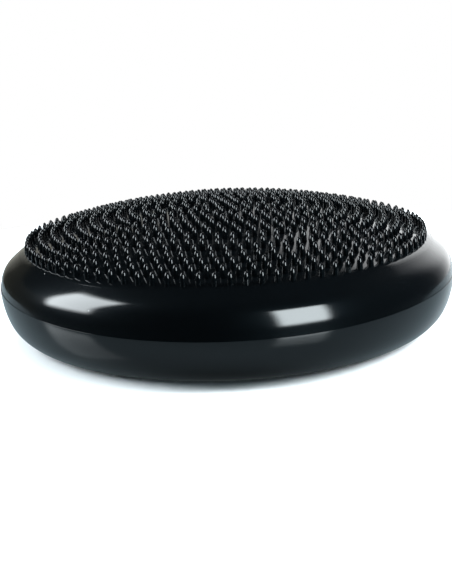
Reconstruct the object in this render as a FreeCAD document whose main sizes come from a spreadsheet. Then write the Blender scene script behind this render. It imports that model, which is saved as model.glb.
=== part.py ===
import FreeCAD, Part
import math
import os

import Sketcher
from FreeCAD import Placement, Rotation, Vector

# Air-filled balance cushion: two soft PVC half mouldings welded at the widest point, with a
# domed tread of concentric nubs on top and a rubber inflation valve in the rear of the rim.
# All sizes are in millimetres. Z is up, the underside rests on Z = 0 and -Y is the front.

SIZES = {
    # lower half moulding
    "rim_radius": 165.37,
    "seam_height": 36.5,
    "rim_edge_radius": 164.45,
    "rim_edge_height": 35.6,
    "rim_edge_round": 0.95,
    "side_radius": 37.0,
    "side_inner_radius": 34.0,
    "foot_radius": 128.4,
    "foot_inner_radius": 128.4,
    "flange_radius": 157.0,
    "flange_height": 33.4,
    "side_inner_top": 162.21,
    "floor_zero": 0.0,
    "foot_inside": 3.0,
    "land_inner": 109.0,
    "land_slope_end": 107.0,
    "field_height": 1.6,
    "field_inside": 4.6,
    "centre_pad": 20.0,
    "centre_pad_slope": 22.0,
    "stud_radius": 3.6,
    "stud_pitch": 14.6,
    "stud_length": 2.4,
    # upper half moulding, outside the tread
    "shoulder_radius": 163.2,
    "shoulder_top_r": 150.6,
    "shoulder_top_z": 62.24,
    "shoulder_round": 33.0,
    "tread_radius": 150.0,
    "shoulder_lip_z": 62.5,
    "shoulder_lip_under": 58.84,
    "shoulder_inner_round": 30.0,
    "shoulder_inner_r": 160.2,
    # tread panel
    "tread_crown": 87.5,
    "tread_sphere": 484.6,
    "tread_wall": 3.0,
    "tread_edge_round": 0.5,
    "nub_height": 8.0,
    "nub_base": 2.2,
    "nub_tip": 1.4,
    "nub_root": 0.8,
    "nub_rings": 15,
    "nub_field": 144.2,
    "nub_spoke": -74.0,
    # valve, measured along its own axis from the centre of the side's round
    "valve_origin_y": 128.4,
    "valve_origin_z": 37.0,
    "valve_dip": 17.6,
    "valve_radius": 5.5,
    "valve_inner_end": 19.0,
    "valve_neck_start": 32.0,
    "valve_neck_radius": 4.3,
    "valve_face": 36.8,
    "valve_seat": 35.2,
    "valve_seat_radius": 4.1,
    "valve_bore": 1.75,
    "plug_radius": 1.7,
    "plug_tip_radius": 1.1,
    "plug_tip": 20.5,
    "plug_tip_end": 22.0,
    "plug_head_radius": 3.8,
    "plug_head_back": 35.25,
    "plug_head_front": 36.5,
    "plug_tab_front": 37.6,
    "plug_tab_radius": 1.5,
}

doc = FreeCAD.newDocument("balance_cushion")
sheet = doc.addObject("Spreadsheet::Sheet", "Sizes")


def fill_sheet():
    for row, (name, number) in enumerate(SIZES.items(), start=1):
        sheet.set(f"A{row}", name)
        sheet.set(f"B{row}", str(number))
        sheet.setAlias(f"B{row}", name)
    doc.recompute()


def origin_plane(body, role):
    for feature in body.Origin.OriginFeatures:
        if feature.Role == role:
            return feature
    raise RuntimeError(f"{body.Name} has no {role}")


def add_sketch(body, name, role):
    sketch = body.newObject("Sketcher::SketchObject", name)
    sketch.AttachmentSupport = [(origin_plane(body, role), "")]
    sketch.MapMode = "FlatFace"
    return sketch


def arc_through(start, end, radius, turn):
    # turn is +1 when the arc runs anticlockwise from start to end and -1 when clockwise
    a, b = (start, end) if turn > 0 else (end, start)
    middle = (a + b) * 0.5
    chord = b - a
    rise = math.sqrt(radius * radius - chord.Length**2 / 4.0)
    side = Vector(-chord.y, chord.x, 0).normalize()
    centre = middle + side * rise
    first = math.atan2(a.y - centre.y, a.x - centre.x)
    last = math.atan2(b.y - centre.y, b.x - centre.x)
    circle = Part.Circle(centre, Vector(0, 0, 1), radius)
    return Part.ArcOfCircle(circle, first, last)


def bind(sketch, index, name):
    sketch.setExpression(f"Constraints[{index}]", f"Sizes.{name}")


def pin_point(sketch, geometry, end, corner):
    for kind, name in zip(("DistanceX", "DistanceY"), corner):
        if SIZES.get(name) == 0.0 or name == "axis":
            line = -2 if kind == "DistanceX" else -1
            sketch.addConstraint(Sketcher.Constraint("PointOnObject", geometry, end, line))
            continue
        number = SIZES[name]
        fixed = Sketcher.Constraint(kind, -1, 1, geometry, end, number)
        bind(sketch, sketch.addConstraint(fixed), name)


def point_of(corner):
    across = 0.0 if corner[0] == "axis" else SIZES[corner[0]]
    return Vector(across, SIZES[corner[1]], 0)


def add_profile(sketch, corners):
    # Each corner is (across, up) or (across, up, arc radius, turn): the arc leads to the next.
    count = len(corners)
    edges = []
    for i, corner in enumerate(corners):
        start = point_of(corner)
        end = point_of(corners[(i + 1) % count])
        if len(corner) == 2:
            index = sketch.addGeometry(Part.LineSegment(start, end), False)
            edges.append((index, 1, 2))
            continue
        index = sketch.addGeometry(arc_through(start, end, SIZES[corner[2]], corner[3]), False)
        edges.append((index, 1, 2) if corner[3] > 0 else (index, 2, 1))
    for i, (index, first, _) in enumerate(edges):
        before, _, last = edges[i - 1]
        sketch.addConstraint(Sketcher.Constraint("Coincident", before, last, index, first))
        pin_point(sketch, index, first, corners[i][:2])
    for (index, _, _), corner in zip(edges, corners):
        if len(corner) == 4:
            curve = Sketcher.Constraint("Radius", index, SIZES[corner[2]])
            bind(sketch, sketch.addConstraint(curve), corner[2])


def add_body(name, tip_builder):
    body = doc.addObject("PartDesign::Body", name)
    body.Label = name
    tip_builder(body)
    doc.recompute()
    return body


def revolve(body, name, corners):
    sketch = add_sketch(body, f"{name}_profile", "XZ_Plane")
    add_profile(sketch, corners)
    doc.recompute()
    turned = body.newObject("PartDesign::Revolution", name)
    turned.Profile = sketch
    turned.ReferenceAxis = (sketch, ["V_Axis"])
    turned.Angle = 360
    body.Tip = turned
    doc.recompute()
    return turned


# --- lower half moulding ------------------------------------------------------------------

LOWER_PROFILE = [
    ("axis", "floor_zero"),
    ("centre_pad", "floor_zero"),
    ("centre_pad_slope", "field_height"),
    ("land_slope_end", "field_height"),
    ("land_inner", "floor_zero"),
    ("foot_radius", "floor_zero", "side_radius", 1),
    ("rim_radius", "rim_edge_height", "rim_edge_round", 1),
    ("rim_edge_radius", "seam_height"),
    ("flange_radius", "seam_height"),
    ("flange_radius", "flange_height"),
    ("side_inner_top", "flange_height", "side_inner_radius", -1),
    ("foot_inner_radius", "foot_inside"),
    ("land_inner", "foot_inside"),
    ("land_slope_end", "field_inside"),
    ("axis", "field_inside"),
]


def stud_spots():
    # Ring k holds 6k studs; one sixth of every ring is drawn and the pattern turns it.
    for ring in range(2, 8):
        for step in range(ring):
            angle = math.radians(60.0 * step / ring)
            reach = ring * SIZES["stud_pitch"]
            yield Vector(reach * math.cos(angle), reach * math.sin(angle), 0)


def add_studs(body):
    sketch = add_sketch(body, "stud_sector", "XY_Plane")
    for spot in stud_spots():
        circle = Part.Circle(spot, Vector(0, 0, 1), SIZES["stud_radius"])
        index = sketch.addGeometry(circle, False)
        sketch.addConstraint(Sketcher.Constraint("Block", index))
    pad = body.newObject("PartDesign::Pad", "studs")
    pad.Profile = sketch
    pad.Length = SIZES["stud_length"]
    pad.setExpression("Length", "Sizes.stud_length")
    body.Tip = pad
    doc.recompute()
    pattern = body.newObject("PartDesign::PolarPattern", "stud_rings")
    pattern.Originals = [pad]
    pattern.Axis = (sketch, ["N_Axis"])
    pattern.Angle = 360
    pattern.Occurrences = 6
    body.Tip = pattern
    doc.recompute()


def valve_placement():
    # The valve's axis runs through the centre of the side's round, so it leaves the wall squarely.
    turn = Rotation(Vector(1, 0, 0), -90.0 - SIZES["valve_dip"])
    return Placement(Vector(0, SIZES["valve_origin_y"], SIZES["valve_origin_z"]), turn)


def cut_valve_hole(body):
    before = body.Shape.Volume
    hole = body.newObject("PartDesign::SubtractiveCylinder", "valve_hole")
    hole.setExpression("Radius", "Sizes.valve_radius")
    hole.setExpression("Height", "Sizes.valve_face + 4")
    hole.Placement = valve_placement()
    body.Tip = hole
    doc.recompute()
    if not 0 < before - hole.Shape.Volume < 500:
        raise RuntimeError("the valve hole does not go through one wall")


def build_lower(body):
    revolve(body, "lower_skin", LOWER_PROFILE)
    add_studs(body)
    cut_valve_hole(body)


# --- upper half moulding: shoulder --------------------------------------------------------

SHOULDER_PROFILE = [
    ("shoulder_inner_r", "seam_height"),
    ("shoulder_radius", "seam_height", "shoulder_round", 1),
    ("shoulder_top_r", "shoulder_top_z"),
    ("tread_radius", "shoulder_lip_z"),
    ("tread_radius", "shoulder_lip_under", "shoulder_inner_round", -1),
]


def build_shoulder(body):
    revolve(body, "shoulder_skin", SHOULDER_PROFILE)


# --- upper half moulding: tread -----------------------------------------------------------


def tread_sphere(radius):
    # The sphere's own seam and poles are turned sideways, clear of the domed cap.
    ball = Part.makeSphere(radius)
    ball.rotate(Vector(0, 0, 0), Vector(0, 1, 0), 90)
    ball.translate(Vector(0, 0, sheet.tread_crown - sheet.tread_sphere))
    return ball


def tread_skin():
    outer = tread_sphere(sheet.tread_sphere)
    inner = tread_sphere(sheet.tread_sphere - sheet.tread_wall)
    column = Part.makeCylinder(sheet.tread_radius, 100, Vector(0, 0, 20))
    skin = outer.cut(inner).common(column)
    rim = [edge for edge in skin.Edges if is_upper_rim(edge)]
    return skin.makeFillet(sheet.tread_edge_round, rim)


def is_upper_rim(edge):
    level = edge.BoundBox.ZMax
    flat = level - edge.BoundBox.ZMin < 1e-3
    return flat and edge.Length > 600 and level > sheet.tread_crown - 24


def nub_solid():
    base, tip, height = sheet.nub_base, sheet.nub_tip, sheet.nub_height
    taper = math.atan((base - tip) / (height - tip))
    ball = height - tip
    shoulder = Vector(tip * math.cos(taper), 0, ball + tip * math.sin(taper))
    root = shoulder.x + (shoulder.z + sheet.nub_root) * math.tan(taper)
    half = (taper + math.pi / 2) / 2
    crown = Vector(tip * math.cos(half), 0, ball + tip * math.sin(half))
    foot = Vector(0, 0, -sheet.nub_root)
    outline = [
        Part.makeLine(foot, Vector(root, 0, -sheet.nub_root)),
        Part.makeLine(Vector(root, 0, -sheet.nub_root), shoulder),
        Part.Arc(shoulder, crown, Vector(0, 0, height)).toShape(),
        Part.makeLine(Vector(0, 0, height), foot),
    ]
    return Part.Face(Part.Wire(outline)).revolve(Vector(0, 0, 0), Vector(0, 0, 1), 360)


def placed_nub(nub, reach, angle):
    # A nub stands square on the dome, so it leans outwards as the dome falls away.
    lean = math.degrees(math.asin(reach / sheet.tread_sphere))
    copy = nub.copy()
    copy.translate(Vector(0, 0, sheet.tread_sphere))
    copy.rotate(Vector(0, 0, 0), Vector(0, 1, 0), lean)
    copy.rotate(Vector(0, 0, 0), Vector(0, 0, 1), angle)
    copy.translate(Vector(0, 0, sheet.tread_crown - sheet.tread_sphere))
    return copy


def tread_nubs():
    # One nub at the centre, then rings of 6, 12, 18 ... nubs that share one straight spoke.
    nub = nub_solid()
    rings = int(sheet.nub_rings)
    arc = math.asin(sheet.nub_field / sheet.tread_sphere)
    nubs = [placed_nub(nub, 0.0, 0.0)]
    for ring in range(1, rings + 1):
        reach = sheet.tread_sphere * math.sin(arc * ring / rings)
        for step in range(6 * ring):
            nubs.append(placed_nub(nub, reach, sheet.nub_spoke + 60.0 * step / ring))
    return nubs


def build_tread():
    panel = doc.addObject("Part::Feature", "tread_panel")
    panel.Label = "tread_panel"
    fused = tread_skin().multiFuse(tread_nubs())
    if len(fused.Solids) != 1:
        raise RuntimeError("the nubs did not join the tread")
    panel.Shape = fused.Solids[0]
    return panel


# --- inflation valve, drawn standing on its own axis and then laid into the wall -----------

SOCKET_PROFILE = [
    ("valve_bore", "valve_inner_end"),
    ("valve_neck_radius", "valve_inner_end"),
    ("valve_neck_radius", "valve_neck_start"),
    ("valve_radius", "valve_neck_start"),
    ("valve_radius", "valve_face"),
    ("valve_seat_radius", "valve_face"),
    ("valve_seat_radius", "valve_seat"),
    ("valve_bore", "valve_seat"),
]

PLUG_PROFILE = [
    ("axis", "plug_tip"),
    ("plug_tip_radius", "plug_tip"),
    ("plug_radius", "plug_tip_end"),
    ("plug_radius", "plug_head_back"),
    ("plug_head_radius", "plug_head_back"),
    ("plug_head_radius", "plug_head_front"),
    ("plug_tab_radius", "plug_head_front"),
    ("plug_tab_radius", "plug_tab_front"),
    ("axis", "plug_tab_front"),
]


def build_socket(body):
    revolve(body, "socket_body", SOCKET_PROFILE)


def build_plug(body):
    revolve(body, "plug_body", PLUG_PROFILE)


def lay_into_wall(body):
    body.Placement = valve_placement()
    body.setExpression("Placement.Base.y", "Sizes.valve_origin_y")
    body.setExpression("Placement.Base.z", "Sizes.valve_origin_z")


# --- build, check and export ----------------------------------------------------------------


def check(item):
    bad = [word for word in item.State if word in ("Invalid", "Error")]
    if bad:
        raise RuntimeError(f"{item.Name} is {bad}")


def export(items):
    os.makedirs("parts", exist_ok=True)
    for item in items:
        shape = item.Shape
        if not shape.isValid() or len(shape.Solids) != 1:
            raise RuntimeError(f"{item.Label} is not one valid solid")
        shape.exportStep(f"parts/{item.Label}.step")
        print(item.Label, round(shape.Volume / 1000.0, 2), "cm3", shape.optimalBoundingBox())


fill_sheet()
lower = add_body("lower_shell", build_lower)
shoulder = add_body("upper_shoulder", build_shoulder)
tread = build_tread()
socket = add_body("valve_socket", build_socket)
plug = add_body("valve_plug", build_plug)
for valve_piece in (socket, plug):
    lay_into_wall(valve_piece)
doc.recompute()
for thing in doc.Objects:
    check(thing)
export([lower, shoulder, tread, socket, plug])
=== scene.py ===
import math
import random

import bpy
import numpy as np
from mathutils import Matrix, Vector
from mathutils.geometry import delaunay_2d_cdt


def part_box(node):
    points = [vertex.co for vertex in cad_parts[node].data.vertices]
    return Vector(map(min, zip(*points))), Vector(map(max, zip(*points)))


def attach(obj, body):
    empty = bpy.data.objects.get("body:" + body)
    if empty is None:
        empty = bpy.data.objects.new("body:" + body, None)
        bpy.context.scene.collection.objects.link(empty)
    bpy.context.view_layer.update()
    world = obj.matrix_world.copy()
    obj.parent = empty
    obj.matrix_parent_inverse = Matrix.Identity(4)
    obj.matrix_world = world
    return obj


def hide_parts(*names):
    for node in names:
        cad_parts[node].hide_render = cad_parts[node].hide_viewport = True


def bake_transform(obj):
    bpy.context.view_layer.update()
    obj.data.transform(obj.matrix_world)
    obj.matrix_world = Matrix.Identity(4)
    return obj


# Air-filled balance cushion: glossy near-black PVC, a rounded lower half, an upper half with a
# crowned tread of nubs, and a rubber valve at the rear. Lengths are in millimetres until a mesh
# is made, and metres after that. Angles are in degrees.

MM = 0.001
SEGMENTS = 384
SHARP = 40.0

# The CAD's own sizes, which the skins below follow.
WALL = 3.0
SEAM_Z = 36.5
SIDE_CENTRE = (128.4, 37.0)
SIDE_RADIUS = 37.0
SHOULDER_CENTRE = (130.2, 36.3)
SHOULDER_RADIUS = 33.0
TREAD_EDGE = 150.0
TREAD_CROWN = 87.5
TREAD_SPHERE = 484.6
SPHERE_Z = TREAD_CROWN - TREAD_SPHERE
FIELD_EDGE = 107.0
FIELD_Z = 1.6
FIELD_INSIDE = 4.6
VALVE_DIP = 17.6

# The hole for the valve body is a hair wider than the body.
VALVE_HOLE = 5.52

# Nubs: 6k of them in ring k, each turned from the common spoke by its ring's own few degrees.
NUB_FIELD = 144.2
NUB_RINGS = 15
NUB_SPOKE = -74.0
RING_TURNS = {
    4: 5.5,
    5: -5.9,
    6: -4.6,
    7: -2.2,
    8: -1.4,
    9: 0.5,
    10: -1.2,
    11: 0.2,
    12: -0.5,
    13: -0.2,
    15: 0.8,
}
NUB_SIDES = 18
NUB_HEIGHT = 8.0
NUB_RADIUS = 2.05
NUB_SHAFT = 3.2
# Radius and height of the shaft's rings, from the foot up.
SHAFT_OUTLINE = [(2.26, 0.0), (2.19, 1.0), (2.12, 2.1)]
TIP_ANGLES = (0.0, 14.0, 26.0, 37.0, 47.0, 57.0, 66.0, 75.0, 83.0)
# How much one nub differs from the next, as shares of its height.
NUB_LEAN = 0.014
NUB_STRETCH = 0.006

# Beyond the outer nubs the tread's edge rolls over to meet the shoulder.
ROLL_START = 144.5
ROLL_DROP = 1.1
EDGE_CHAMFER = (0.05, 0.2)
EDGE_RINGS = (147.5, 148.3, 149.1)
UNDER_RINGS = (150.0, 120.0, 90.0, 60.0, 30.0, 8.0)

# Low studs in rings under the cushion, and a pad in the middle: radius and height, going down.
STUD_RINGS = range(2, 8)
STUD_PITCH = 14.6
STUD_SIDES = 28
STUD_OUTLINE = [(3.75, FIELD_Z), (3.62, 1.52), (3.58, 0.35), (3.45, 0.1), (3.2, 0.0)]
PAD_SIDES = 96
PAD_OUTLINE = [(22.0, FIELD_Z), (21.6, 1.5), (20.3, 0.2), (19.6, 0.0)]

# The lower half's rim under the seam, and the ledge that the upper half stands on.
RIM_RADIUS = 165.37
RIM_DEPTH = 0.3
LEDGE_RADIUS = 157.0
# The filled wall squats: its rounded foot stands this much wider, and its widest part stays.
FOOT_SPREAD = 4.6

# The soft seam dips at the front and rear, rises at the sides, and wanders a little besides.
SEAM_LIFT = 1.0
SEAM_WAVE = 3.6
# Height, number of waves round the disc and start in radians of each smaller ripple.
SEAM_RIPPLES = ((0.25, 3.0, 0.7), (0.18, 5.0, 2.1))
# The walls follow the seam between these two heights.
SEAM_REACH = (12.0, 60.0)

# The upper wall leaves the seam as a straight flank that leans in by this many degrees. Its arc
# is a little fuller than the CAD's, and eases back to it from SWELL_EASE up to the lip.
SHOULDER_DRAFT = 8.0
SHOULDER_SWELL = 1.5
SWELL_EASE = 26.0
SHOULDER_TOP = 51.6
SHOULDER_STEPS = 44

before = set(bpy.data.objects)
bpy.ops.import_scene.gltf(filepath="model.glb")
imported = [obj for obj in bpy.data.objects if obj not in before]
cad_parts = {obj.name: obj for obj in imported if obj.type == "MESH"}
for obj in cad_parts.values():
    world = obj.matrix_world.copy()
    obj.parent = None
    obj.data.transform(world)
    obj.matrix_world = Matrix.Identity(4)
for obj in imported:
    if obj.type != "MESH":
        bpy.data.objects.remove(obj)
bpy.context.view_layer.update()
random.seed(11)


# --- mesh helpers ---------------------------------------------------------------------------


def smoothstep(t):
    t = np.clip(t, 0.0, 1.0)
    return t * t * (3.0 - 2.0 * t)


def seam_share(z):
    low, high = SEAM_REACH
    rise = smoothstep((z - low) / (SEAM_Z - low))
    fall = 1.0 - smoothstep((z - SEAM_Z) / (high - SEAM_Z))
    return np.minimum(rise, fall)


def warp_seam(points):
    angle = np.arctan2(points[:, 0], -points[:, 1])
    drift = SEAM_LIFT - SEAM_WAVE * np.cos(2.0 * angle)
    for height, waves, start in SEAM_RIPPLES:
        drift = drift + height * np.sin(waves * angle + start)
    moved = points.copy()
    moved[:, 2] += drift * seam_share(points[:, 2])
    return moved


def on_circle(centre, across, up, angle):
    turn = math.radians(angle)
    return centre[0] + across * math.cos(turn), centre[1] + up * math.sin(turn)


def arc(centre, radius, start, end, steps, squeeze=1.0):
    # squeeze narrows the arc sideways
    angles = [start + (end - start) * i / steps for i in range(steps + 1)]
    return [on_circle(centre, radius * squeeze, radius, angle) for angle in angles]


def line(start, end, steps):
    # The points between start and end, without the two ends.
    spots = [i / steps for i in range(1, steps)]
    return [(start[0] + (end[0] - start[0]) * t, start[1] + (end[1] - start[1]) * t) for t in spots]


def ring_points(radius, z):
    angles = np.arange(SEGMENTS) * (2.0 * math.pi / SEGMENTS)
    heights = np.full(SEGMENTS, z)
    return np.stack([radius * np.cos(angles), radius * np.sin(angles), heights], axis=1)


class Mesher:
    def __init__(self):
        self.points = []
        self.faces = []
        self.total = 0

    def add(self, points):
        first = self.total
        self.points.append(np.asarray(points, float))
        self.total += len(points)
        return first

    def bridge(self, lower, upper, count):
        # Quads between two rings of the same size, facing left of the direction of travel.
        for i in range(count):
            j = (i + 1) % count
            self.faces.append((lower + i, lower + j, upper + j, upper + i))

    def fan(self, ring, centre, count, facing_up=True):
        for i in range(count):
            j = (i + 1) % count
            pair = (ring + i, ring + j) if facing_up else (ring + j, ring + i)
            self.faces.append((*pair, centre))

    def revolve(self, profile):
        rings = [self.add(ring_points(r, z)) for r, z in profile]
        for lower, upper in zip(rings, rings[1:]):
            self.bridge(lower, upper, SEGMENTS)
        return rings

    def build(self, name, shape):
        points = shape(np.concatenate(self.points))
        mesh = bpy.data.meshes.new(name)
        mesh.from_pydata((points * MM).tolist(), [], self.faces)
        mesh.polygons.foreach_set("use_smooth", [True] * len(mesh.polygons))
        mesh.set_sharp_from_angle(angle=math.radians(SHARP))
        mesh.update()
        thing = bpy.data.objects.new(name, mesh)
        bpy.context.scene.collection.objects.link(thing)
        return thing


def web(mesher, flat, holes, index):
    # Fills the surface between the outer boundary and the foot ring of every nub or stud.
    # index lists the vertices to join and flat their places in a plane; holes gives the first
    # place in that list and the size of each foot ring, which stays open.
    owner = np.full(len(flat), -1)
    for number, (first, size) in enumerate(holes):
        owner[first : first + size] = number
    made = delaunay_2d_cdt([Vector(p) for p in flat], [], [], 0, 1e-5)
    source = [ids[0] for ids in made[3]]
    for face in made[2]:
        a, b, c = (source[i] for i in face)
        if owner[a] >= 0 and owner[a] == owner[b] == owner[c]:
            continue
        mesher.faces.append((index[a], index[b], index[c]))


# --- tread: crowned panel with nubs ---------------------------------------------------------


def nub_profile():
    # An almost straight shaft, then an ogive to a rounded tip.
    reach = NUB_HEIGHT - NUB_SHAFT
    tip = [on_circle((0.0, NUB_SHAFT), NUB_RADIUS, reach, angle) for angle in TIP_ANGLES]
    return SHAFT_OUTLINE + tip


def tread_frame(reach, angle):
    # The surface's normal, the way outwards and the way round, at a place on the tread.
    beta = reach / TREAD_SPHERE
    out = np.array([math.cos(angle), math.sin(angle), 0.0])
    up = np.array([0.0, 0.0, 1.0])
    normal = out * math.sin(beta) + up * math.cos(beta)
    along = out * math.cos(beta) - up * math.sin(beta)
    across = np.array([-math.sin(angle), math.cos(angle), 0.0])
    return normal, along, across


def tread_height(radius):
    return SPHERE_Z + math.sqrt(TREAD_SPHERE**2 - radius**2)


def onto_plane(points):
    # Equal-distance map of points on the tread's sphere, seen from its centre.
    arms = points - np.array([0.0, 0.0, SPHERE_Z])
    length = np.linalg.norm(arms, axis=1)
    beta = np.arccos(np.clip(arms[:, 2] / length, -1.0, 1.0))
    angle = np.arctan2(arms[:, 1], arms[:, 0])
    return np.stack([beta * np.cos(angle), beta * np.sin(angle)], axis=1) * TREAD_SPHERE


def nub_places():
    # Distance from the crown along the surface, and angle about the middle.
    yield 0.0, 0.0
    field = TREAD_SPHERE * math.asin(NUB_FIELD / TREAD_SPHERE)
    for ring in range(1, NUB_RINGS + 1):
        for step in range(6 * ring):
            turn = NUB_SPOKE + RING_TURNS.get(ring, 0.0) + 60.0 * step / ring
            yield field * ring / NUB_RINGS, math.radians(turn)


def add_nub(mesher, reach, angle, profile):
    normal, along, across = tread_frame(reach, angle)
    centre = np.array([0.0, 0.0, SPHERE_Z]) + normal * TREAD_SPHERE
    # A nub stands upright, as the mould's draw leaves it, give or take a slight lean.
    tilt = random.gauss(0.0, NUB_LEAN) - math.sin(reach / TREAD_SPHERE)
    lean = along * tilt + across * random.gauss(0.0, NUB_LEAN)
    stretch = 1.0 + random.gauss(0.0, NUB_STRETCH)
    phase = random.uniform(0.0, 1.0)
    psi = (np.arange(NUB_SIDES) + phase) * (2.0 * math.pi / NUB_SIDES)
    spots = np.outer(np.cos(psi), along) + np.outer(np.sin(psi), across)
    rings = []
    for radius, height in profile:
        # The foot ring lies on the dome, which falls away from the nub's middle.
        sag = radius**2 / (2.0 * TREAD_SPHERE) if height == 0.0 else 0.0
        middle = centre + normal * (height * stretch - sag) + lean * height
        rings.append(mesher.add(middle + spots * radius))
    for lower, upper in zip(rings, rings[1:]):
        mesher.bridge(lower, upper, NUB_SIDES)
    top = mesher.add([centre + normal * NUB_HEIGHT * stretch + lean * NUB_HEIGHT])
    mesher.fan(rings[-1], top, NUB_SIDES)
    return rings[0]


def roll_edge(points):
    past = (np.hypot(points[:, 0], points[:, 1]) - ROLL_START) / (TREAD_EDGE - ROLL_START)
    moved = points.copy()
    moved[:, 2] -= ROLL_DROP * np.clip(past, 0.0, 1.0) ** 2
    return moved


def make_tread():
    mesher = Mesher()
    profile = nub_profile()
    feet = [add_nub(mesher, reach, angle, profile) for reach, angle in nub_places()]
    edge_z = tread_height(TREAD_EDGE)
    across, down = EDGE_CHAMFER
    side = [(TREAD_EDGE - across, edge_z), (TREAD_EDGE, edge_z - down)]
    inner = TREAD_SPHERE - WALL
    under = [(r, SPHERE_Z + math.sqrt(inner**2 - r**2)) for r in UNDER_RINGS]
    outline = side + line(side[-1], under[0], 3) + under
    rings = mesher.revolve(outline[::-1])
    middle = mesher.add([(0.0, 0.0, SPHERE_Z + inner)])
    mesher.fan(rings[0], middle, SEGMENTS, facing_up=False)
    border = [mesher.add(ring_points(r, tread_height(r))) for r in EDGE_RINGS] + [rings[-1]]
    everything = np.concatenate(mesher.points)
    index = [i for foot in feet for i in range(foot, foot + NUB_SIDES)]
    index += [i for ring in border for i in range(ring, ring + SEGMENTS)]
    holes = [(n * NUB_SIDES, NUB_SIDES) for n in range(len(feet))]
    web(mesher, onto_plane(everything[index]), holes, index)
    return mesher.build("tread_nubs", roll_edge)


# --- lower half: side, land and studded underside -------------------------------------------


def stud_places():
    for ring in STUD_RINGS:
        for step in range(6 * ring):
            turn = math.radians(60.0 * step / ring)
            yield ring * STUD_PITCH * math.cos(turn), ring * STUD_PITCH * math.sin(turn)


def add_stud(mesher, x, y, profile, sides):
    psi = np.arange(sides) * (2.0 * math.pi / sides)
    rings = []
    for radius, z in profile:
        spots = [x + radius * np.cos(psi), y - radius * np.sin(psi), np.full(sides, z)]
        rings.append(mesher.add(np.stack(spots, axis=1)))
    for lower, upper in zip(rings, rings[1:]):
        mesher.bridge(lower, upper, sides)
    middle = mesher.add([(x, y, profile[-1][1])])
    mesher.fan(rings[-1], middle, sides)
    return rings[0]


def lower_outline():
    # From the underside's edge down to the land, out and up to the seam, and back inside.
    land = [(FIELD_EDGE, FIELD_Z), (107.35, 1.5), (108.6, 0.18), (109.2, 0.0)]
    squeeze = 1.0 - FOOT_SPREAD / SIDE_RADIUS
    centre = (SIDE_CENTRE[0] + FOOT_SPREAD, SIDE_CENTRE[1])
    foot = line(land[-1], (centre[0], 0.0), 8)
    side = arc(centre, SIDE_RADIUS, -90.0, -1.8, 60, squeeze)
    rim = [(RIM_RADIUS, SEAM_Z - RIM_DEPTH), (RIM_RADIUS, SEAM_Z)]
    lip = [(LEDGE_RADIUS, SEAM_Z), (LEDGE_RADIUS, 33.4)]
    ledge = line(rim[-1], lip[0], 5)
    inner = arc(SIDE_CENTRE, SIDE_RADIUS - WALL, -6.1, -90.0, 30)
    back = [(109.0, 3.0), (FIELD_EDGE, FIELD_INSIDE), (60.0, FIELD_INSIDE), (20.0, FIELD_INSIDE)]
    return land + foot + side + rim + ledge + lip + inner + back


def make_lower():
    mesher = Mesher()
    rings = mesher.revolve(lower_outline())
    middle = mesher.add([(0.0, 0.0, FIELD_INSIDE)])
    mesher.fan(rings[-1], middle, SEGMENTS)
    feet = [(add_stud(mesher, x, y, STUD_OUTLINE, STUD_SIDES), STUD_SIDES) for x, y in stud_places()]
    feet.append((add_stud(mesher, 0.0, 0.0, PAD_OUTLINE, PAD_SIDES), PAD_SIDES))
    everything = np.concatenate(mesher.points)
    index = list(range(rings[0], rings[0] + SEGMENTS))
    holes = []
    for first, sides in feet:
        holes.append((len(index), sides))
        index += range(first, first + sides)
    # Seen from below, so that the new faces look down.
    flat = everything[index][:, :2] * np.array([1.0, -1.0])
    web(mesher, flat, holes, index)
    return mesher.build("lower_skin", warp_seam)


def bore_valve_hole(skin):
    # The rubber valve body of the CAD sits in this hole.
    low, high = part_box("valve_socket")
    dip = math.radians(VALVE_DIP)
    axis = Vector((0.0, math.cos(dip), -math.sin(dip)))
    middle = Vector((0.0, (low.y + high.y) / 2, (low.z + high.z) / 2))
    bpy.ops.mesh.primitive_cylinder_add(vertices=96, radius=VALVE_HOLE * MM, depth=30.0 * MM)
    cutter = bpy.context.object
    turn = Vector((0.0, 0.0, 1.0)).rotation_difference(axis).to_matrix().to_4x4()
    cutter.matrix_world = Matrix.Translation(middle + axis * (6.0 * MM)) @ turn
    bpy.context.view_layer.update()
    cut = skin.modifiers.new("valve_hole", "BOOLEAN")
    cut.operation = "DIFFERENCE"
    cut.solver = "EXACT"
    cut.object = cutter
    bpy.context.view_layer.objects.active = skin
    with bpy.context.temp_override(object=skin, active_object=skin):
        bpy.ops.object.modifier_apply(modifier=cut.name)
    bpy.data.objects.remove(cutter)
    skin.data.set_sharp_from_angle(angle=math.radians(SHARP))


# --- upper half: shoulder ---------------------------------------------------------------------


def shoulder_outline():
    # From the seam up the outside to the lip, and down the inside.
    side = []
    for step in range(SHOULDER_STEPS + 1):
        angle = SHOULDER_DRAFT + (SHOULDER_TOP - SHOULDER_DRAFT) * step / SHOULDER_STEPS
        eased = smoothstep((angle - SWELL_EASE) / (SHOULDER_TOP - SWELL_EASE))
        reach = SHOULDER_RADIUS + SHOULDER_SWELL * float(1.0 - eased)
        side.append(on_circle(SHOULDER_CENTRE, reach, reach, angle))
    r, z = side[0]
    foot = (r + (z - SEAM_Z) * math.tan(math.radians(SHOULDER_DRAFT)), SEAM_Z)
    flank = [foot] + line(foot, side[0], 5)
    lip = [(150.3, 62.42), (150.02, 62.67)]
    inside = [(150.04, 60.5), (150.04, 58.9)]
    inner = arc(SHOULDER_CENTRE, SHOULDER_RADIUS - WALL, 48.0, 0.4, 20)
    return flank + side + lip + inside + inner


def make_shoulder():
    mesher = Mesher()
    rings = mesher.revolve(shoulder_outline())
    mesher.bridge(rings[-1], rings[0], SEGMENTS)
    return mesher.build("shoulder_skin", warp_seam)


# --- node helpers -------------------------------------------------------------------------------


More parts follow.
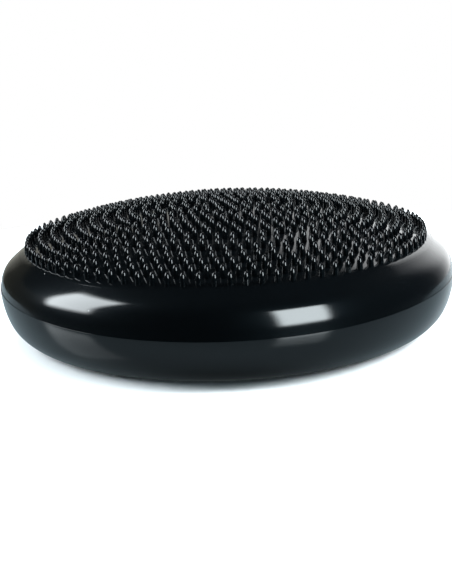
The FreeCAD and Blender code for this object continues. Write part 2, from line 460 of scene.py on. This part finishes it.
def node(tree, kind, place, **inputs):
    made = tree.nodes.new(kind)
    made.location = place
    for name, value in inputs.items():
        made.inputs[name.replace("_", " ")].default_value = value
    return made


def join(tree, source, output, target, name):
    tree.links.new(source.outputs[output], target.inputs[name])


def operation(tree, kind, place, action):
    made = node(tree, kind, place)
    made.operation = action
    return made


def colour_mix(tree, place, first=None, second=None):
    made = node(tree, "ShaderNodeMix", place)
    made.data_type = "RGBA"
    for name, colour in (("A", first), ("B", second)):
        if colour is not None:
            made.inputs[name].default_value = (*colour, 1.0)
    return made


def remap(tree, place, reads=(0.0, 1.0), gives=(0.0, 1.0), smooth=False):
    made = node(tree, "ShaderNodeMapRange", place)
    if smooth:
        made.interpolation_type = "SMOOTHSTEP"
    for name, value in zip(("From Min", "From Max", "To Min", "To Max"), (*reads, *gives)):
        made.inputs[name].default_value = value
    return made


def grey_ramp(tree, place, stops):
    made = node(tree, "ShaderNodeValToRGB", place)
    elements = made.color_ramp.elements
    while len(elements) < len(stops):
        elements.new(0.5)
    for element, (spot, value) in zip(elements, stops):
        element.position = spot
        element.color = (value, value, value, 1.0)
    return made


def scaled(colour, gains):
    return tuple(part * gain for part, gain in zip(colour, gains))


# --- materials ----------------------------------------------------------------------------------


def add_dust(tree, where):
    # Sparse pale specks well under a millimetre.
    dust = node(tree, "ShaderNodeTexVoronoi", (-1100, 600), Scale=90.0, Randomness=1.0)
    join(tree, where, "Object", dust, "Vector")
    speck = grey_ramp(tree, (-880, 600), [(0.0, 1.0), (0.022, 1.0), (0.034, 0.0)])
    join(tree, dust, "Distance", speck, "Fac")
    pick = node(tree, "ShaderNodeSeparateColor", (-880, 800))
    join(tree, dust, "Color", pick, "Color")
    rare = grey_ramp(tree, (-660, 800), [(0.0, 0.0), (0.9, 0.0), (0.93, 1.0)])
    join(tree, pick, "Red", rare, "Fac")
    both = operation(tree, "ShaderNodeMath", (-440, 650), "MULTIPLY")
    join(tree, speck, "Color", both, 0)
    join(tree, rare, "Color", both, 1)
    return both


def colour_pvc(tree, where, skin, tone):
    # Near black, a little bluer and paler where the plasticiser has bloomed.
    bloom = node(tree, "ShaderNodeTexNoise", (-1100, 300), Scale=14.0, Detail=4.0)
    join(tree, where, "Object", bloom, "Vector")
    tint = colour_mix(tree, (-700, 300), tone, scaled(tone, (1.5, 1.55, 1.7)))
    join(tree, bloom, "Fac", tint, "Factor")
    dust = add_dust(tree, where)
    dusty = colour_mix(tree, (-200, 350), second=(0.42, 0.43, 0.42))
    join(tree, dust, "Value", dusty, "Factor")
    join(tree, tint, "Result", dusty, "A")
    join(tree, dusty, "Result", skin, "Base Color")


def gloss_pvc(tree, where, skin, gloss, haze):
    # Clear where wiped, hazier in soft patches.
    patch = node(tree, "ShaderNodeTexNoise", (-1100, 0), Scale=9.0, Detail=5.0)
    join(tree, where, "Object", patch, "Vector")
    rough = remap(tree, (-700, 0), gives=(haze - 0.06, haze + 0.08))
    join(tree, patch, "Fac", rough, "Value")
    join(tree, rough, "Result", skin, "Roughness")
    skin.inputs["Specular IOR Level"].default_value = 0.022
    skin.inputs["Specular Tint"].default_value = (0.5, 0.8, 1.0, 1.0)
    skin.inputs["Coat Weight"].default_value = 1.0
    skin.inputs["Coat Roughness"].default_value = gloss
    skin.inputs["Coat IOR"].default_value = 1.38


def bump_pvc(tree, where, skin):
    # Fine orange peel from the mould, and a slow unevenness of the soft wall.
    peel = node(tree, "ShaderNodeTexNoise", (-1100, -300), Scale=420.0, Detail=2.0)
    wall = node(tree, "ShaderNodeTexNoise", (-1100, -520), Scale=26.0, Detail=2.0)
    join(tree, where, "Object", peel, "Vector")
    join(tree, where, "Object", wall, "Vector")
    first = node(tree, "ShaderNodeBump", (-500, -300), Strength=0.10, Distance=0.00006)
    second = node(tree, "ShaderNodeBump", (-200, -400), Strength=0.16, Distance=0.0004)
    join(tree, peel, "Fac", first, "Height")
    join(tree, wall, "Fac", second, "Height")
    join(tree, first, "Normal", second, "Normal")
    join(tree, second, "Normal", skin, "Normal")
    join(tree, second, "Normal", skin, "Coat Normal")


def glossy_pvc(name, tone, gloss, haze):
    made = bpy.data.materials.new(name)
    made.use_nodes = True
    tree = made.node_tree
    tree.nodes.clear()
    where = node(tree, "ShaderNodeTexCoord", (-1400, 0))
    out = node(tree, "ShaderNodeOutputMaterial", (700, 0))
    skin = node(tree, "ShaderNodeBsdfPrincipled", (350, 0), IOR=1.5)
    join(tree, skin, "BSDF", out, "Surface")
    colour_pvc(tree, where, skin, tone)
    gloss_pvc(tree, where, skin, gloss, haze)
    bump_pvc(tree, where, skin)
    return made


def satin_rubber(name, tone):
    made = bpy.data.materials.new(name)
    made.use_nodes = True
    tree = made.node_tree
    skin = tree.nodes["Principled BSDF"]
    where = node(tree, "ShaderNodeTexCoord", (-900, 0))
    grain = node(tree, "ShaderNodeTexNoise", (-700, 0), Scale=900.0, Detail=4.0)
    join(tree, where, "Object", grain, "Vector")
    rough = remap(tree, (-450, 0), gives=(0.42, 0.6))
    join(tree, grain, "Fac", rough, "Value")
    join(tree, rough, "Result", skin, "Roughness")
    tint = colour_mix(tree, (-450, 300), tone, scaled(tone, (1.7, 1.7, 1.7)))
    join(tree, grain, "Fac", tint, "Factor")
    join(tree, tint, "Result", skin, "Base Color")
    bump = node(tree, "ShaderNodeBump", (-200, -300), Strength=0.3, Distance=0.0001)
    join(tree, grain, "Fac", bump, "Height")
    join(tree, bump, "Normal", skin, "Normal")
    return made


def dress(thing, material):
    slots = thing.data.materials
    if len(slots) == 0:
        slots.append(material)
        return
    for slot in thing.material_slots:
        slot.material = material


# --- stage, light and camera ----------------------------------------------------------------------


def make_floor():
    # Burnt out white for the camera. In what the moulding mirrors, and in bounced light, it is painted
    # darker and a little glossy, with a faint painted glow that lifts its shadow there.
    bpy.ops.mesh.primitive_circle_add(vertices=128, radius=0.46, fill_type="NGON")
    floor = bpy.context.object
    floor.name = "studio_floor"
    paint = bpy.data.materials.new("studio_white")
    paint.use_nodes = True
    tree = paint.node_tree
    skin = tree.nodes["Principled BSDF"]
    skin.inputs["Roughness"].default_value = 0.14
    skin.inputs["Emission Color"].default_value = (0.80, 0.95, 1.0, 1.0)
    path = node(tree, "ShaderNodeLightPath", (-700, 0))
    # Painted shade: the floor is much darker in reflections and bounced light than it looks to the
    # camera.
    reflected_painted_shade = colour_mix(tree, (-250, 200), (0.155, 0.185, 0.20), (0.88, 0.88, 0.88))
    join(tree, path, "Is Camera Ray", reflected_painted_shade, "Factor")
    join(tree, reflected_painted_shade, "Result", skin, "Base Color")
    # Painted glow: away from the camera the floor emits a faint cool light and shows a little gloss.
    for height, name, strength in ((0, "Emission Strength", 0.08), (-250, "Specular IOR Level", 0.24)):
        fade = remap(tree, (-250, height), gives=(strength, 0.0))
        join(tree, path, "Is Camera Ray", fade, "Value")
        join(tree, fade, "Result", skin, name)
    floor.data.materials.append(paint)


def direction(azimuth, elevation):
    # azimuth 0 is the front, towards the camera, and 90 is the object's right as seen
    a, e = math.radians(azimuth), math.radians(elevation)
    return Vector((math.sin(a) * math.cos(e), -math.cos(a) * math.cos(e), math.sin(e)))


def feather(data):
    # A softbox is brightest in the middle and fades over its edges.
    data.use_nodes = True
    tree = data.node_tree
    glow = tree.nodes["Emission"]
    where = node(tree, "ShaderNodeNewGeometry", (-1000, 0))
    parts = node(tree, "ShaderNodeSeparateXYZ", (-800, 0))
    join(tree, where, "Parametric", parts, "Vector")
    both = operation(tree, "ShaderNodeMath", (-100, 0), "MULTIPLY")
    for slot, (axis, height) in enumerate((("X", 150), ("Y", -150))):
        middle = operation(tree, "ShaderNodeMath", (-600, height), "SUBTRACT")
        middle.inputs[1].default_value = 0.5
        join(tree, parts, axis, middle, 0)
        away = operation(tree, "ShaderNodeMath", (-450, height), "ABSOLUTE")
        join(tree, middle, "Value", away, 0)
        fade = remap(tree, (-300, height), (0.34, 0.5), (1.0, 0.12), smooth=True)
        join(tree, away, "Value", fade, "Value")
        join(tree, fade, "Result", both, slot)
    join(tree, both, "Value", glow, "Strength")


def area_light(name, azimuth, elevation, distance, size, power, colour, lean=0.0):
    data = bpy.data.lights.new(name, "AREA")
    data.shape = "RECTANGLE"
    data.size, data.size_y = size
    data.energy = power
    data.color = colour
    lamp = bpy.data.objects.new(name, data)
    aim = Vector((0.0, -0.1, 0.05))
    back = direction(azimuth, elevation)
    lamp.location = aim + back * distance
    turn = back.to_track_quat("Z", "Y").to_matrix()
    lamp.rotation_euler = (turn @ Matrix.Rotation(math.radians(lean), 3, "Z")).to_euler()
    lamp.visible_camera = False
    bpy.context.scene.collection.objects.link(lamp)
    return lamp


def make_lights():
    # Two softboxes seen only as highlights, and three plain lights that only fill.
    for name, azimuth, elevation, size, power, colour, lean in (
        ("softbox_right", 36.5, 17.5, (0.66, 0.71), 36.0, (0.88, 0.97, 1.0), 0.0),
        ("softbox_left", -90.0, 31.5, (0.76, 1.0), 45.0, (0.90, 0.97, 1.0), 12.0),
    ):
        lamp = area_light(name, azimuth, elevation, 1.3, size, power, colour, lean)
        feather(lamp.data)
        lamp.visible_diffuse = False
    for name, azimuth, elevation, distance, size, power in (
        ("light_left", -92.0, 29.0, 1.3, 0.8, 31.0),
        ("light_right", 95.0, 28.0, 1.3, 0.8, 54.0),
        ("light_top", 180.0, 86.0, 3.0, 2.6, 118.0),
    ):
        lamp = area_light(name, azimuth, elevation, distance, (size, size), power, (0.88, 0.96, 1.0))
        lamp.visible_glossy = False


# What the back of the studio looks like from left to right: dull olive, grey, a bright wall,
# and dark again.
WALL_COLOURS = [
    (0.0, (0.05, 0.049, 0.036)),
    (0.26, (0.05, 0.049, 0.036)),
    (0.375, (0.45, 0.45, 0.40)),
    (0.51, (0.50, 0.51, 0.50)),
    (0.555, (1.1, 1.13, 1.13)),
    (0.61, (1.8, 1.86, 1.88)),
    (0.735, (2.0, 2.05, 2.07)),
    (0.80, (1.25, 1.28, 1.30)),
    (0.865, (0.38, 0.40, 0.42)),
    (0.915, (0.05, 0.055, 0.06)),
    (0.945, (0.02, 0.025, 0.03)),
    (1.0, (0.02, 0.025, 0.03)),
]
ROOM_COLOUR = (0.010, 0.015, 0.017)
CEILING_COLOUR = (0.006, 0.008, 0.009)


def paint_wall(tree, compass):
    across = remap(tree, (-500, 300), reads=(-1.0, 1.0))
    join(tree, compass, "X", across, "Value")
    wall = node(tree, "ShaderNodeValToRGB", (-250, 300))
    stops = wall.color_ramp.elements
    for spot, colour in WALL_COLOURS[1:-1]:
        stops.new(spot).color = (*colour, 1.0)
    stops[0].color = (*WALL_COLOURS[0][1], 1.0)
    stops[-1].color = (*WALL_COLOURS[-1][1], 1.0)
    join(tree, across, "Result", wall, "Fac")
    return wall


def mirrored_room(tree):
    # A bright wall behind and to the right, a dull corner behind on the left, a dark room on
    # the camera's side and a dark ceiling.
    where = node(tree, "ShaderNodeTexCoord", (-1400, 0))
    level = operation(tree, "ShaderNodeVectorMath", (-1200, 200), "MULTIPLY")
    level.inputs[1].default_value = (1.0, 1.0, 0.0)
    join(tree, where, "Generated", level, 0)
    unit = operation(tree, "ShaderNodeVectorMath", (-1000, 200), "NORMALIZE")
    join(tree, level, "Vector", unit, 0)
    compass = node(tree, "ShaderNodeSeparateXYZ", (-800, 200))
    join(tree, unit, "Vector", compass, "Vector")
    parts = node(tree, "ShaderNodeSeparateXYZ", (-800, -200))
    join(tree, where, "Generated", parts, "Vector")

    back = remap(tree, (-500, 0), reads=(0.1, 0.45), smooth=True)
    join(tree, compass, "Y", back, "Value")
    room = colour_mix(tree, (0, 100), ROOM_COLOUR)
    join(tree, back, "Result", room, "Factor")
    join(tree, paint_wall(tree, compass), "Color", room, "B")

    # the bright wall on the right is taller than the dull one on the left
    tall = remap(tree, (-600, -200), reads=(0.02, 0.14), smooth=True)
    join(tree, compass, "X", tall, "Value")
    taller = operation(tree, "ShaderNodeMath", (-450, -300), "MULTIPLY_ADD")
    taller.inputs[1].default_value = -0.27
    join(tree, tall, "Result", taller, 0)
    join(tree, parts, "Z", taller, 2)
    above = remap(tree, (-300, -300), reads=(0.30, 0.37), smooth=True)
    join(tree, taller, "Value", above, "Value")
    lid = colour_mix(tree, (250, 0), second=CEILING_COLOUR)
    join(tree, above, "Result", lid, "Factor")
    join(tree, room, "Result", lid, "A")
    return lid


def make_world():
    # Plain white for the camera, a cool even glow as fill light, and the room in reflections.
    world = bpy.data.worlds.new("studio")
    bpy.context.scene.world = world
    world.use_nodes = True
    tree = world.node_tree
    tree.nodes.clear()
    glow = node(tree, "ShaderNodeBackground", (450, 100))
    join(tree, mirrored_room(tree), "Result", glow, "Color")
    soft = node(tree, "ShaderNodeBackground", (450, -300), Color=(0.62, 0.88, 1.0, 1.0), Strength=0.26)
    plain = node(tree, "ShaderNodeBackground", (450, -100), Color=(1.0, 1.0, 1.0, 1.0))
    path = node(tree, "ShaderNodeLightPath", (250, 500))
    first = node(tree, "ShaderNodeMixShader", (650, 200))
    join(tree, path, "Is Diffuse Ray", first, 0)
    join(tree, glow, "Background", first, 1)
    join(tree, soft, "Background", first, 2)
    last = node(tree, "ShaderNodeMixShader", (780, 0))
    join(tree, path, "Is Camera Ray", last, 0)
    join(tree, first, "Shader", last, 1)
    join(tree, plain, "Background", last, 2)
    out = node(tree, "ShaderNodeOutputWorld", (900, 0))
    join(tree, last, "Shader", out, "Surface")


# The camera's lens, place, aim and roll, in millimetres of film, metres and degrees.
CAMERA_LENS = 81.17
CAMERA_SPOT = (0.0, -0.9473, 0.26376)
CAMERA_AIM = (-0.00121, 0.0, 0.0243)
CAMERA_ROLL = -2.345


def make_camera():
    data = bpy.data.cameras.new("camera")
    data.sensor_width = 36.0
    data.lens = CAMERA_LENS
    data.clip_start = 0.01
    camera = bpy.data.objects.new("camera", data)
    bpy.context.scene.collection.objects.link(camera)
    spot = Vector(CAMERA_SPOT)
    turn = (Vector(CAMERA_AIM) - spot).to_track_quat("-Z", "Y").to_matrix().to_4x4()
    roll = Matrix.Rotation(math.radians(CAMERA_ROLL), 4, "Z")
    camera.matrix_world = Matrix.Translation(spot) @ turn @ roll
    bpy.context.scene.camera = camera


# --- make everything ---------------------------------------------------------------------------

make_camera()
make_world()
make_floor()
make_lights()

PVC_TONE = (0.0010, 0.0013, 0.0015)
pvc = glossy_pvc("soft_pvc_smooth", PVC_TONE, 0.10, 0.36)
nub_pvc = glossy_pvc("soft_pvc_tread", PVC_TONE, 0.08, 0.36)
rubber = satin_rubber("valve_rubber", (0.012, 0.012, 0.013))

tread = make_tread()
lower = make_lower()
bore_valve_hole(lower)
shoulder = make_shoulder()

for thing, material, slot in (
    (tread, nub_pvc, "soft_pvc_tread"),
    (lower, pvc, "soft_pvc_smooth"),
    (shoulder, pvc, "soft_pvc_smooth"),
):
    dress(thing, material)
for name in ("valve_socket", "valve_plug"):
    dress(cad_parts[name], rubber)

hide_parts("tread_panel")
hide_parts("lower_shell")
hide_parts("upper_shoulder")
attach(tread, "tread")
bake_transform(lower)
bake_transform(shoulder)

bpy.context.scene.view_settings.view_transform = "Standard"
